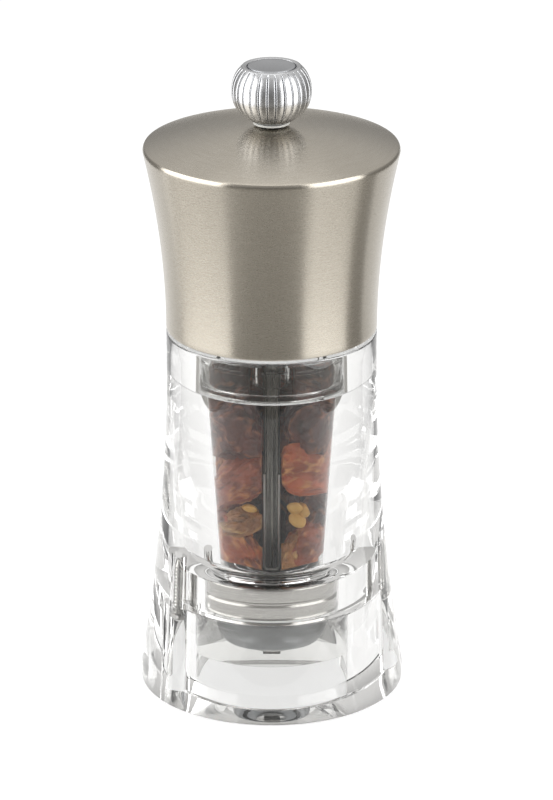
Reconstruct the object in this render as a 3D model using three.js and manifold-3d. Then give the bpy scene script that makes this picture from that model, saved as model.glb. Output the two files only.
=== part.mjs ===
// A manual spice mill, 140 mm tall. A thick-walled clear body flares out at its foot, a brushed
// metal head turns on its neck, and a square drive shaft hangs from the knob on top and carries
// a toothed grinding cone inside a fixed toothed bowl. Screwing the knob down lifts the shaft
// and cone, which narrows the gap and grinds finer. Two wires on the shaft stir the dried
// chillies that fill the chamber.
// Millimetres, +Z up, front towards -Y, origin at the centre of the base.

import * as THREE from "three";
import { mergeVertices } from "three/addons/utils/BufferGeometryUtils.js";
import Module from "manifold-3d";

const wasm = await Module();
wasm.setup();

// Driving dimensions.
const MILL_HEIGHT = 140;
const BASE_RADIUS = 28.8;
const WAIST_RADIUS = 22.7;
const RIM_RADIUS = 27.5;
const BODY_TOP = 81;
const RIM_Z = 121.6;
const DOME_Z = 127;
const KNOB_RADIUS = 8.55;
const KNOB_FLUTES = 28;
const SHAFT_SIDE = 3.6;
const THREAD_RADIUS = 1.75;

// Clearances: between parts that touch, and of a slot around the shaft.
const GAP = 0.3;
const SLOT_SIDE = SHAFT_SIDE + 2 * GAP;

// How far a cutting shape reaches past what it cuts.
const PAST = 1;

// How far the knob can lift and lower the shaft from where it is shown.
const TRAVEL = { up: 0.75, down: 1.1 };

// Outside of the clear body: an upright band at the foot, then a curve up to the waist.
const FOOT_BAND = 2.6;
const FOOT_CHAMFER = 0.4;
const FLARE_BEND_Z = 42;
const FLARE_TOP = 72;

// Inside of the clear body, from the base up.
const RECESS_RADIUS = 17;
const RECESS_TOP = 19.3;
const BORE_RADIUS = 14.8;
const BORE_TOP = 27.2;
const CHAMBER_MOUTH = { radius: 9, z: BORE_TOP + 0.6 };
const CHAMBER_FOOT = { radius: 12.6, z: 31 };
const CHAMBER_FULLNESS = 0.4;
const CHAMBER_TOP_RADIUS = 14.7;
const NECK_FLOOR = 70;
const NECK_RADIUS = 16.2;

// The two screws that hold the mechanism, on a line turned a little from X.
const SCREW_CIRCLE_RADIUS = 17.2;
const SCREW_ANGLES = { left: (198 * Math.PI) / 180, right: (18 * Math.PI) / 180 };
const SCREW_POCKET_RADIUS = 3.2;
const SCREW_SHANK_RADIUS = 1.45;
const SCREW_TIP_Z = 30;

// Parts of a full turn that the solids of revolution are made of.
const FINE = 48;
const MEDIUM = 36;
const COARSE = 20;
const TURN = 2 * Math.PI;

const materials = {
  clear: look(0xf4f6f5, 0.03, 0, 0.3),
  brushedSteel: look(0xa9a396, 0.34, 1),
  polishedSteel: look(0xc9c9c7, 0.18, 1),
  groundSteel: look(0x8d8f91, 0.42, 1),
  castZinc: look(0xb4b5b6, 0.3, 1),
  brass: look(0xc49a4a, 0.35, 1),
  whitePlastic: look(0xe4e4e0, 0.5, 0),
  blackPlastic: look(0x2a2a2b, 0.5, 0),
  driedChilli: look(0x6e2f22, 0.55, 0),
};

function look(color, roughness, metalness, opacity = 1) {
  return new THREE.MeshStandardMaterial({
    color,
    roughness,
    metalness,
    opacity,
    transparent: opacity < 1,
  });
}

// ---- Shapes ----

// A solid of revolution about Z. The outline holds [radius, height] pairs, anticlockwise with
// the radius to the right, and closes on itself unless it starts and ends on the axis.
function turned(outline, segments = MEDIUM) {
  const points = outline.map(([radius, height]) => new THREE.Vector2(radius, height));
  if (outline[0][0] > 0) points.push(points[0].clone());
  return new THREE.LatheGeometry(points, segments).rotateX(Math.PI / 2);
}

// A ring or, with no inner radius, a disc, standing on z = 0.
function ring(outer, inner, height, segments = MEDIUM) {
  return inner > 0
    ? turned([[inner, 0], [outer, 0], [outer, height], [inner, height]], segments)
    : turned([[0, 0], [outer, 0], [outer, height], [0, height]], segments);
}

// A square bar about Z, standing on z = 0, with a flat cut off each edge.
function squareBar(side, height, edge) {
  const half = side / 2;
  const shape = new THREE.Shape();
  for (let quarter = 0; quarter < 4; quarter++) {
    const [c, s] = [Math.cos((quarter * TURN) / 4), Math.sin((quarter * TURN) / 4)];
    for (const [x, y] of [[half, edge - half], [half, half - edge]]) {
      const point = [x * c - y * s, x * s + y * c];
      if (quarter === 0 && y < 0) shape.moveTo(...point);
      else shape.lineTo(...point);
    }
  }
  return new THREE.ExtrudeGeometry(shape, { depth: height, bevelEnabled: false });
}

// Points on a curve as [radius, height] pairs.
function along(curve, steps) {
  return curve.getPoints(steps).map((point) => [point.x, point.y]);
}

function bend(start, control, end) {
  return new THREE.QuadraticBezierCurve(
    ...[start, control, end].map(([x, y]) => new THREE.Vector2(x, y)),
  );
}

// Scales each vertex's distance from the Z axis by factor(angle, height, radius).
function scaleRadius(geometry, factor) {
  const position = geometry.getAttribute("position");
  for (let i = 0; i < position.count; i++) {
    const [x, y, z] = [position.getX(i), position.getY(i), position.getZ(i)];
    const k = factor(Math.atan2(y, x), z, Math.hypot(x, y));
    position.setXYZ(i, x * k, y * k, z);
  }
  return geometry;
}

// ---- Solids, for cutting and joining ----

function disc(radius, height, z, x = 0, y = 0) {
  return ring(radius, 0, height, COARSE).translate(x, y, z);
}

function solid(geometry) {
  const bare = new THREE.BufferGeometry();
  bare.setAttribute("position", geometry.getAttribute("position"));
  if (geometry.index) bare.setIndex(geometry.index);
  const merged = mergeVertices(bare, 1e-4);
  const corners = [];
  for (let i = 0; i < merged.index.count; i += 3) {
    const [a, b, c] = [0, 1, 2].map((k) => merged.index.getX(i + k));
    if (a !== b && b !== c && c !== a) corners.push(a, b, c);
  }
  return new wasm.Manifold(
    new wasm.Mesh({
      numProp: 3,
      vertProperties: merged.attributes.position.array,
      triVerts: new Uint32Array(corners),
    }),
  );
}

function geometryOf(made) {
  const mesh = made.getMesh();
  return new THREE.BufferGeometry()
    .setAttribute("position", new THREE.BufferAttribute(mesh.vertProperties, 3))
    .setIndex(new THREE.BufferAttribute(mesh.triVerts, 1));
}

function cut(geometry, ...tools) {
  return geometryOf(tools.reduce((left, tool) => left.subtract(solid(tool)), solid(geometry)));
}

function join(geometry, ...others) {
  return geometryOf(others.reduce((sum, other) => sum.add(solid(other)), solid(geometry)));
}

// Cuts the shaft's square slot through a part that stands on z = 0.
function slotted(geometry, height) {
  const edge = 0.2;
  return cut(geometry, squareBar(SLOT_SIDE, height + 2 * PAST, edge).translate(0, 0, -PAST));
}

// ---- The tree ----

const mill = new THREE.Group();
const body = new THREE.Group();
const drive = new THREE.Group();
const head = new THREE.Group();
const knob = new THREE.Group();
mill.add(body, drive, head, knob);

function place(group, name, geometry, material, z = 0, x = 0, y = 0) {
  const mesh = new THREE.Mesh(geometry, material);
  mesh.name = name;
  mesh.position.set(x, y, z);
  group.add(mesh);
}

function onScrewCircle(angle) {
  return [SCREW_CIRCLE_RADIUS * Math.cos(angle), SCREW_CIRCLE_RADIUS * Math.sin(angle)];
}

// ---- Clear body ----

// The rounded foot of the chamber, from its wall in to its mouth, set in by a margin.
function chamberBowl(margin, steps) {
  const foot = [CHAMBER_FOOT.radius - margin, CHAMBER_FOOT.z];
  const mouth = [CHAMBER_MOUTH.radius - margin, CHAMBER_MOUTH.z + margin];
  const corner = [foot[0] - CHAMBER_FULLNESS, mouth[1] + CHAMBER_FULLNESS];
  return along(bend(foot, corner, mouth), steps);
}

function clearBody() {
  const topEdge = 0.5;
  const footDraft = 0.1;
  const flareTop = [WAIST_RADIUS, FLARE_TOP];
  const flare = along(bend([BASE_RADIUS, FOOT_BAND], [WAIST_RADIUS, FLARE_BEND_Z], flareTop), 8);
  const shell = turned(
    [
      [RECESS_RADIUS + FOOT_CHAMFER, 0],
      [BASE_RADIUS - footDraft - FOOT_CHAMFER, 0],
      [BASE_RADIUS - footDraft, FOOT_CHAMFER],
      ...flare,
      [WAIST_RADIUS, BODY_TOP - topEdge],
      [WAIST_RADIUS - topEdge, BODY_TOP],
      [NECK_RADIUS, BODY_TOP],
      [NECK_RADIUS, NECK_FLOOR],
      [CHAMBER_TOP_RADIUS, NECK_FLOOR],
      ...chamberBowl(0, 6),
      [CHAMBER_MOUTH.radius, BORE_TOP],
      [BORE_RADIUS, BORE_TOP],
      [BORE_RADIUS, RECESS_TOP],
      [RECESS_RADIUS, RECESS_TOP],
      [RECESS_RADIUS, FOOT_CHAMFER],
    ],
    FINE,
  );
  const pilotRadius = SCREW_SHANK_RADIUS + GAP;
  const holes = Object.values(SCREW_ANGLES).flatMap((angle) => {
    const [x, y] = onScrewCircle(angle);
    const pocket = disc(SCREW_POCKET_RADIUS, RECESS_TOP + PAST, -PAST, x, y);
    const pilot = disc(pilotRadius, SCREW_TIP_Z + PAST, 0, x, y);
    return [pocket, pilot];
  });
  return cut(shell, ...holes);
}

// ---- Mechanism in the foot of the body ----

const MECHANISM_TOP = BORE_TOP - GAP;
const HOUSING_Z = RECESS_TOP + 0.2;
const HOUSING_INNER_RADIUS = 12.65;
const RING_TOP = HOUSING_Z - GAP;
const RING_Z = 9.6;
const RING_HOLE_RADIUS = 12;
const EAR_THICKNESS = 1.6;
const SCREW_HEAD = { radius: 2.6, height: 1.7 };
const SCREW_HEAD_Z = RING_TOP - EAR_THICKNESS - GAP - SCREW_HEAD.height;

// A steel sleeve that fills the bore and holds the stator and the bridge. A groove runs round it.
function housingSleeve() {
  const outer = BORE_RADIUS - GAP;
  const height = MECHANISM_TOP - HOUSING_Z;
  const groove = { depth: 0.35, mouth: 0.5, floor: 0.2 };
  return turned([
    [HOUSING_INNER_RADIUS, 0],
    [outer, 0],
    [outer, height / 2 - groove.mouth],
    [outer - groove.depth, height / 2 - groove.floor],
    [outer - groove.depth, height / 2 + groove.floor],
    [outer, height / 2 + groove.mouth],
    [outer, height],
    [HOUSING_INNER_RADIUS, height],
  ]);
}

// A clear ring that closes the recess with a bell-shaped shoulder. Two ears take the screws.
function retainingRing() {
  const height = RING_TOP - RING_Z;
  const outer = RECESS_RADIUS - GAP;
  const [lip, foot, bulge] = [0.6, 0.4, 3.2];
  const corner = [outer - 3 * foot, bulge];
  const shoulder = bend([RING_HOLE_RADIUS, height - lip], corner, [outer - foot, 0]);
  const blank = turned([
    [outer, 0],
    [outer, height],
    [RING_HOLE_RADIUS, height],
    ...along(shoulder, 6),
  ]);
  const ears = [];
  const holes = [];
  for (const angle of Object.values(SCREW_ANGLES)) {
    const [x, y] = onScrewCircle(angle);
    const earRadius = SCREW_POCKET_RADIUS - GAP;
    const earZ = height - EAR_THICKNESS;
    ears.push(disc(earRadius, EAR_THICKNESS, earZ, x, y));
    holes.push(disc(earRadius, earZ + PAST, -PAST, x, y));
    holes.push(disc(SCREW_SHANK_RADIUS + GAP, height + 2 * PAST, -PAST, x, y));
  }
  return cut(join(blank, ...ears), ...holes);
}

// A pan-head screw, standing on its head, with a round drive recess and a short point.
function housingScrew() {
  const { radius, height } = SCREW_HEAD;
  const length = SCREW_TIP_Z - SCREW_HEAD_Z;
  const recess = 0.6;
  return turned(
    [
      [0, recess],
      [1.1, recess],
      [1.3, 0],
      [radius - 0.5, 0],
      [radius, 0.6],
      [radius, height],
      [SCREW_SHANK_RADIUS, height],
      [SCREW_SHANK_RADIUS, length - 1.8],
      [0.5, length - 0.2],
      [0, length - 0.2],
    ],
    COARSE,
  );
}

const STATOR_Z = 11.2;
const STATOR_SHOULDER = 19.5;
const STATOR_TOP = 23.4;
const BITE_TOP = 14.2;
const GRIND_TEETH = 24;
const TOOTH = 0.2;
const OUTLET_RADIUS = 6.9;
const BITE_RADIUS = 6.2;
const FUNNEL_RADIUS = 10.8;

// What a radius is scaled by to cut grinding teeth.
function teeth(angle, radius) {
  return 1 + (TOOTH * Math.cos(GRIND_TEETH * (angle - TURN / 4))) / radius;
}

// The fixed grinding part: a bowl with a funnel above and a toothed bore that widens downwards.
function statorBowl() {
  const at = (z) => z - STATOR_Z;
  const [outer, side, rim] = [HOUSING_INNER_RADIUS - GAP, RING_HOLE_RADIUS - 0.5, 0.5];
  const bowl = bend([OUTLET_RADIUS + rim, 0], [side - rim, 1], [side, at(STATOR_SHOULDER)]);
  const blank = turned(
    [
      [OUTLET_RADIUS, 0],
      ...along(bowl, 5),
      [outer, at(STATOR_SHOULDER)],
      [outer, at(STATOR_TOP)],
      [FUNNEL_RADIUS, at(STATOR_TOP)],
      [BITE_RADIUS, at(BITE_TOP)],
    ],
    2 * GRIND_TEETH,
  );
  return scaleRadius(blank, (angle, z, radius) =>
    radius < OUTLET_RADIUS + rim / 2 ? teeth(angle, radius) : 1,
  );
}

// The bridge over the bowl: three arms slope down from a rim to the hub in which the guide
// bush turns.
const BRIDGE_Z = STATOR_TOP + GAP;
const HUB_Z = 20.4;
const HUB_HEIGHT = 2.2;
const HUB_RADIUS = 5;
const HUB_BORE_RADIUS = 3.8;

function bearingBridge() {
  const arm = { length: 7.4, width: 2.2, height: 1.4, slope: 0.5, lift: 0.4 };
  const rim = ring(HOUSING_INNER_RADIUS - GAP, FUNNEL_RADIUS, MECHANISM_TOP - BRIDGE_Z);
  const hub = ring(HUB_RADIUS, HUB_BORE_RADIUS, HUB_HEIGHT, COARSE);
  hub.translate(0, 0, HUB_Z - BRIDGE_Z);
  const armZ = (HUB_Z + HUB_HEIGHT / 2 - BRIDGE_Z) / 2 + arm.lift;
  const arms = [0, 1, 2].map((i) =>
    new THREE.BoxGeometry(arm.length, arm.width, arm.height)
      .rotateY(-arm.slope)
      .translate((FUNNEL_RADIUS + HUB_RADIUS) / 2, 0, armZ)
      .rotateZ((i * TURN) / 3 + TURN / 4),
  );
  return join(rim, hub, ...arms);
}

// ---- Parts that turn with the head ----

const BUSH_FLANGE = 0.8;
const BUSH_TOP = HUB_Z + HUB_HEIGHT + GAP + BUSH_FLANGE;

function guideBush(height) {
  const flangeRadius = HUB_RADIUS - 0.4;
  const bush = turned(
    [
      [0, 0],
      [HUB_BORE_RADIUS - GAP, 0],
      [HUB_BORE_RADIUS - GAP, height - BUSH_FLANGE],
      [flangeRadius, height - BUSH_FLANGE],
      [flangeRadius, height],
      [0, height],
    ],
    COARSE,
  );
  return slotted(bush, height);
}

const SHAFT_FOOT = 9;
const SHAFT_SHOULDER = 121;
const SHAFT_TOP = 135.8;
const CLIP_Z = 10;
const CLIP_THICKNESS = 0.6;
const CLIP_GROOVE_RADIUS = 1.35;
const CONE_Z = 10.9;
const CONE_TOP = 16.8;

// The square shaft, with a groove for the clip near its foot and a threaded round top.
function driveShaft() {
  const [edge, point, sides] = [0.35, 0.6, 16];
  const square = squareBar(SHAFT_SIDE, SHAFT_SHOULDER - SHAFT_FOOT, edge);
  const grooveFoot = CLIP_Z - GAP - SHAFT_FOOT;
  const groove = ring(SHAFT_SIDE, CLIP_GROOVE_RADIUS, CLIP_THICKNESS + 2 * GAP, sides);
  groove.translate(0, 0, grooveFoot);
  const threadLength = SHAFT_TOP - SHAFT_SHOULDER;
  const thread = turned(
    [
      [0, -PAST],
      [THREAD_RADIUS, -PAST],
      [THREAD_RADIUS, threadLength - point],
      [THREAD_RADIUS - point, threadLength],
      [0, threadLength],
    ],
    sides,
  ).translate(0, 0, SHAFT_SHOULDER - SHAFT_FOOT);
  return join(cut(square, groove), thread);
}

// The grinding cone: a toothed skirt below, and four spiral feeding ribs above it.
function grindingCone() {
  const height = CONE_TOP - CONE_Z;
  const skirtTop = BITE_TOP - CONE_Z;
  const blank = turned(
    [
      [0, 0],
      [4, 0],
      [5.85, 0.5],
      [5.7, 1.3],
      [5.2, skirtTop],
      [5.6, skirtTop + 0.8],
      [5.4, height],
      [0, height],
    ],
    2 * GRIND_TEETH,
  );
  const rib = { count: 4, twist: 0.22, depth: 0.14 };
  scaleRadius(blank, (angle, z, radius) => {
    if (radius < 5) return 1;
    if (z <= skirtTop) return teeth(angle, radius);
    return 1 - rib.depth * (1 - Math.cos(rib.count * (angle - rib.twist * z)));
  });
  return slotted(blank, height);
}

// An E-clip: a flat ring with a mouth.
function coneClip() {
  const shape = new THREE.Shape();
  const [mouth, outer] = [0.45, 3.5];
  shape.absarc(0, 0, outer, mouth, TURN - mouth, false);
  shape.absarc(0, 0, CLIP_GROOVE_RADIUS + GAP, TURN - mouth, mouth, true);
  return new THREE.ExtrudeGeometry(shape, {
    depth: CLIP_THICKNESS,
    bevelEnabled: false,
    curveSegments: 14,
  });
}

// Wire that turns with the shaft and keeps the chillies moving: a hairpin that hugs the front
// of the shaft, and a foot that sweeps the floor of the chamber.
const AGITATOR_WIRE = 0.25;
const AGITATOR_TOP = 48;
const AGITATOR_FLOOR = BUSH_TOP + TRAVEL.down + GAP + AGITATOR_WIRE;
const HAIRPIN = {
  x: SHAFT_SIDE / 2 - 0.2,
  y: -(SHAFT_SIDE / 2 + GAP + AGITATOR_WIRE),
  cornerX: 0.8,
  cornerZ: 1.2,
};
const AGITATOR_FOOT_TOP = AGITATOR_FLOOR + AGITATOR_WIRE + 0.2;

function bentWire(points, steps) {
  const bends = points.map((point) => new THREE.Vector3(...point));
  const path = new THREE.CatmullRomCurve3(bends, false, "catmullrom", 0.4);
  return wire(path, AGITATOR_WIRE, steps);
}

function agitatorHairpin() {
  const { x, y, cornerX, cornerZ } = HAIRPIN;
  const low = AGITATOR_FLOOR;
  const leg = (side) => [
    [side * x, y, AGITATOR_TOP],
    [side * x, y, (AGITATOR_TOP + low) / 2],
    [side * x, y, low + cornerZ],
  ];
  const foot = [[-cornerX, y, low], [cornerX, y, low]];
  return bentWire([...leg(-1), ...foot, ...leg(1).reverse()], 34);
}

function agitatorFoot() {
  const z = AGITATOR_FLOOR + AGITATOR_WIRE;
  const end = [-6.4, -0.6, AGITATOR_FOOT_TOP];
  return bentWire([end, [-4.2, -3.8, z], [-0.8, -6.2, z], [1.6, -8, z]], 14);
}

class Helix extends THREE.Curve {
  constructor(radius, height, turns) {
    super();
    Object.assign(this, { radius, height, turns });
  }
  getPoint(t, target = new THREE.Vector3()) {
    const angle = t * this.turns * TURN;
    return target.set(
      this.radius * Math.cos(angle),
      this.radius * Math.sin(angle),
      t * this.height,
    );
  }
}

// A tube along a curve, with closed ends.
function wire(curve, radius, steps) {
  const section = new THREE.Shape();
  section.absarc(0, 0, radius, 0, TURN, false);
  return new THREE.ExtrudeGeometry(section, {
    steps,
    extrudePath: curve,
    curveSegments: 4,
    bevelEnabled: false,
  });
}

// ---- Head ----

const SHELL_WALL = 0.8;
const SHELL_FOOT = BODY_TOP + 0.6;
const DOME_FLAT_RADIUS = 5.2;
const SHELL_HOLE_RADIUS = 2.8;
const SHELL_BEND_Z = 100.7;

// The spun metal shell: a waisted side, a rounded rim and a shallow dome with a hole.
function headShell() {
  const rimEdge = 1;
  const domeEdge = RIM_RADIUS - rimEdge;
  const domeFoot = RIM_Z + 0.85 * rimEdge;
  const rise = DOME_Z - domeFoot;
  const domeRadius = (domeEdge ** 2 + rise ** 2) / (2 * rise);
  const domeAt = (r) => DOME_Z - domeRadius + Math.sqrt(domeRadius ** 2 - r ** 2);
  const side = (inset, steps) =>
    along(
      bend(
        [WAIST_RADIUS - inset, SHELL_FOOT + 0.3],
        [WAIST_RADIUS - inset, SHELL_BEND_Z],
        [RIM_RADIUS - inset, RIM_Z - inset],
      ),
      steps,
    );
  const dome = (lower) =>
    [domeEdge - lower, 16, DOME_FLAT_RADIUS].map((r) => [r, domeAt(r) - lower]);
  const outline = [
    [WAIST_RADIUS - SHELL_WALL, SHELL_FOOT],
    [WAIST_RADIUS - 0.3, SHELL_FOOT],
    ...side(0, 6),
    [RIM_RADIUS - 0.3, RIM_Z + 0.55],
    ...dome(0),
    [SHELL_HOLE_RADIUS, domeAt(DOME_FLAT_RADIUS)],
    [SHELL_HOLE_RADIUS, domeAt(DOME_FLAT_RADIUS) - SHELL_WALL],
    ...dome(SHELL_WALL).reverse(),
    ...side(SHELL_WALL, 4).reverse(),
  ];
  return turned(outline, FINE);
}

const CORE_FLOOR_Z = BODY_TOP + 1.8;
const CORE_FLOOR = 2.8;
const CORE_TOP = 108;
const BOSS_TOP = 125.6;
const CORE_BORE_RADIUS = 3.4;
const INSERT_RADIUS = 6;
const INSERT_THICKNESS = 1.8;

// The moulded core inside the shell: a floor, a wall, and a ribbed boss up to the dome.
function headCore() {
  const wallRadius = WAIST_RADIUS - SHELL_WALL - GAP;
  const wall = 1.8;
  const boss = 7.4;
  const rib = { thickness: 1.2, height: 18, sunk: 0.5 };
  const bossTop = BOSS_TOP - CORE_FLOOR_Z;
  const cup = turned([
    [CORE_BORE_RADIUS, 0],
    [wallRadius, 0],
    [wallRadius, CORE_TOP - CORE_FLOOR_Z],
    [wallRadius - wall, CORE_TOP - CORE_FLOOR_Z],
    [wallRadius - wall, CORE_FLOOR],
    [boss, CORE_FLOOR],
    [boss - 1, bossTop],
    [CORE_BORE_RADIUS, bossTop],
  ]);
  const ribs = [0, 1, 2, 3, 4, 5].map((i) =>
    new THREE.BoxGeometry(wallRadius - boss, rib.thickness, rib.height)
      .translate((wallRadius + boss - wall / 2) / 2, 0, CORE_FLOOR + rib.height / 2 - rib.sunk)
      .rotateZ((i * TURN) / 6),
  );
  const pocketHeight = INSERT_THICKNESS + 2 * GAP;
  const pocket = disc(INSERT_RADIUS + GAP, pocketHeight + PAST, -PAST);
  return cut(join(cup, ...ribs), pocket);
}

const COLLAR_FOOT = NECK_FLOOR + GAP;
const COLLAR_TOP = BODY_TOP + 1.5;
const COLLAR_RADIUS = NECK_RADIUS - GAP;
const COLLAR_BORE_RADIUS = 14.6;
const FLANGE = { radius: 17, thickness: 1.2 };
const GUIDE_FOOT = 68.5;
const GUIDE_RADIUS = { outer: 4.4, inner: 3.1 };
const WEB = { length: 10.8, thickness: 1.2, height: 3.2 };

// The clear collar that runs in the neck, with webs to a tube that guides the shaft.
function neckCollar() {
  const height = COLLAR_TOP - COLLAR_FOOT;
  const flangeZ = height - FLANGE.thickness;
  const waist = { depth: 0.3, low: 1.4, high: 6.3 };
  const lip = { radius: COLLAR_BORE_RADIUS - 0.5, height: 1.1 };
  const sleeve = turned([
    [lip.radius, 0],
    [COLLAR_RADIUS - 0.4, 0],
    [COLLAR_RADIUS, 0.4],
    [COLLAR_RADIUS, waist.low],
    [COLLAR_RADIUS - waist.depth, waist.low + waist.depth],
    [COLLAR_RADIUS - waist.depth, waist.high - waist.depth],
    [COLLAR_RADIUS, waist.high],
    [COLLAR_RADIUS, flangeZ],
    [FLANGE.radius, flangeZ],
    [FLANGE.radius, height],
    [COLLAR_BORE_RADIUS, height],
    [COLLAR_BORE_RADIUS, lip.height + 0.3],
    [lip.radius, lip.height],
  ]);
  const tubeHeight = COLLAR_TOP - GUIDE_FOOT;
  const tube = ring(GUIDE_RADIUS.outer, GUIDE_RADIUS.inner, tubeHeight, COARSE);
  tube.translate(0, 0, GUIDE_FOOT - COLLAR_FOOT);
  const cap = ring(6.5, GUIDE_RADIUS.outer - 0.2, FLANGE.thickness, COARSE);
  cap.translate(0, 0, flangeZ);
  const webs = [0, 1, 2, 3].map((i) =>
    new THREE.BoxGeometry(WEB.length, WEB.thickness, WEB.height)
      .translate((GUIDE_RADIUS.outer + COLLAR_BORE_RADIUS) / 2, 0, height - WEB.height / 2)
      .rotateZ((i * TURN) / 4 + TURN / 8),
  );
  return join(sleeve, tube, cap, ...webs);
}

function driveInsert() {
  const plate = ring(INSERT_RADIUS, 0, INSERT_THICKNESS, COARSE);
  return slotted(plate, INSERT_THICKNESS);
}

// ---- Knob ----

const WASHER_Z = DOME_Z + 0.15;
const WASHER_THICKNESS = 0.5;
const KNOB_FOOT = WASHER_Z + WASHER_THICKNESS + GAP;
const KNOB_EQUATOR = 134.1;
const INSERT_TOP = 136.4;
const KNOB_BORE = { radius: 3.2, top: 137.2 };
const KNOB_DISH = 1;

// A squat fluted ball with a sunk top and a blind bore from below.
function knobBody() {
  const reach = { below: 7, above: 7.6 };
  const side = [-55, -40, -24, -8, 10, 26, 43].map((degrees) => {
    const t = (degrees * Math.PI) / 180;
    const tall = degrees < 0 ? reach.below : reach.above;
    return [KNOB_RADIUS * Math.cos(t), KNOB_EQUATOR + tall * Math.sin(t)];
  });
  const footRadius = 4.2;
  const outline = [
    [0, KNOB_FOOT],
    [footRadius, KNOB_FOOT],
    ...side,
    [5.7, MILL_HEIGHT],
    [5.3, MILL_HEIGHT - 0.3],
    [5.2, MILL_HEIGHT - KNOB_DISH],
    [0, MILL_HEIGHT - KNOB_DISH],
  ];
  const bore = disc(KNOB_BORE.radius, KNOB_BORE.top - KNOB_FOOT + PAST, KNOB_FOOT - PAST);
  const blank = cut(turned(outline, 2 * KNOB_FLUTES), bore);
  const [low, high, groove] = [KNOB_FOOT + 0.4, MILL_HEIGHT - 1.1, 0.4];
  return scaleRadius(blank, (angle, z, radius) => {
    const onSide = radius > footRadius + 0.2 && z > low && z < high;
    const inGroove = Math.cos(KNOB_FLUTES * (angle - TURN / 4)) < 0;
    return onSide && inGroove ? 1 - groove / radius : 1;
  }).translate(0, 0, -KNOB_FOOT);
}

// ---- Dried chillies in the chamber ----

const CHILLI_LAYERS = 5;
const CHILLI_LAYER_PITCH = 9.6;
const CHILLI_FOOT = 32;
const CHILLI_ANGLES = [208, 90, 332];
const CHILLI_FLOOR = AGITATOR_FOOT_TOP + AGITATOR_WIRE + TRAVEL.up + GAP;
const CHAMBER_MARGIN = 0.5;
const FREE_WIDTH = 5.2;
const POD = { width: 10.5, depth: 7.2, height: 6.8, lumps: 0.12 };

// The space that a chilli may take: the chamber less what the shaft, its wire and the collar
// sweep, and less a narrow free space in front of the shaft.
function chamberSpace() {
  const top = COLLAR_TOP - WEB.height - 2 * GAP;
  const mouth = CHAMBER_MOUTH.radius - CHAMBER_MARGIN;
  const collar = COLLAR_BORE_RADIUS - 2 * CHAMBER_MARGIN;
  const hollow = turned(
    [
      [0, CHILLI_FLOOR],
      [mouth, CHILLI_FLOOR],
      ...chamberBowl(CHAMBER_MARGIN, 3).reverse(),
      [collar + GAP, NECK_FLOOR - 4],
      [collar, NECK_FLOOR - CHAMBER_MARGIN],
      [collar, top],
      [0, top],
    ],
    COARSE,
  );
  const column = (radius, low, high) => disc(radius, high - low, low);
  const shaftSweep = column(SHAFT_SIDE * Math.SQRT1_2 + 2 * GAP, RECESS_TOP, BODY_TOP);
  const hairpinReach = Math.hypot(HAIRPIN.x, HAIRPIN.y) + AGITATOR_WIRE;
  const wireSweep = column(hairpinReach + 2 * GAP, RECESS_TOP, AGITATOR_TOP + TRAVEL.up + GAP);
  const guide = column(GUIDE_RADIUS.outer + 2 * GAP, GUIDE_FOOT - 1, BODY_TOP);
  const front = new THREE.BoxGeometry(FREE_WIDTH, BASE_RADIUS, BODY_TOP)
    .translate(0, -SHAFT_SIDE + GAP - BASE_RADIUS / 2, BODY_TOP / 2 + RECESS_TOP);
  return solid(cut(hollow, shaftSweep, wireSweep, guide, front));
}

// A lumpy pod, squashed to the sizes given, before it is pressed against its neighbours.
function pod(width, depth, height, seed) {
  const lump = new THREE.IcosahedronGeometry(1, 1);
  const position = lump.getAttribute("position");
  for (let i = 0; i < position.count; i++) {
    const [x, y, z] = [position.getX(i), position.getY(i), position.getZ(i)];
    const k = 1 + POD.lumps * Math.sin(3 * x + seed) * Math.cos(4 * z - 2 * y + 2 * seed);
    position.setXYZ(i, x * k * width, y * k * depth, z * k * height);
  }
  return lump;
}

function largest(made) {
  const pieces = made.decompose();
  return pieces.reduce((best, piece) => (piece.volume() > best.volume() ? piece : best));
}

// Chillies stand round the shaft, layer on layer.
function placeChillies() {
  let room = chamberSpace();
  for (let layer = 0; layer < CHILLI_LAYERS; layer++) {
    for (let slot = 0; slot < CHILLI_ANGLES.length; slot++) {
      const number = layer * CHILLI_ANGLES.length + slot + 1;
      const swing = 9 * Math.sin(number * 2.3);
      const angle = ((CHILLI_ANGLES[slot] + swing) * Math.PI) / 180;
      const reach = 8.4 + 0.2 * layer;
      const z = CHILLI_FOOT + layer * CHILLI_LAYER_PITCH + 1.4 * Math.sin(number * 1.7);
      const tilt = 0.5 * Math.sin(number * 3.1);
      const pose = (scale) =>
        pod(POD.width, POD.depth, POD.height, number)
          .scale(scale, scale, scale)
          .rotateY(tilt)
          .rotateZ(angle + TURN / 4)
          .translate(reach * Math.cos(angle), reach * Math.sin(angle), z);
      const chilli = largest(room.intersect(solid(pose(1))).simplify(0.2));
      room = room.subtract(solid(pose(1.07)));
      const name = `dried_chilli_${String(number).padStart(2, "0")}`;
      place(body, name, geometryOf(chilli), materials.driedChilli);
    }
  }
}

// ---- Assembly ----

place(body, "clear_body", clearBody(), materials.clear);
place(body, "housing_sleeve", housingSleeve(), materials.polishedSteel, HOUSING_Z);
place(body, "retaining_ring", retainingRing(), materials.clear, RING_Z);
place(body, "stator_bowl", statorBowl(), materials.groundSteel, STATOR_Z);
place(body, "bearing_bridge", bearingBridge(), materials.groundSteel, BRIDGE_Z);
for (const [side, angle] of Object.entries(SCREW_ANGLES)) {
  const [x, y] = onScrewCircle(angle);
  const name = `housing_screw_${side}`;
  place(body, name, housingScrew(), materials.polishedSteel, SCREW_HEAD_Z, x, y);
}
placeChillies();

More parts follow.
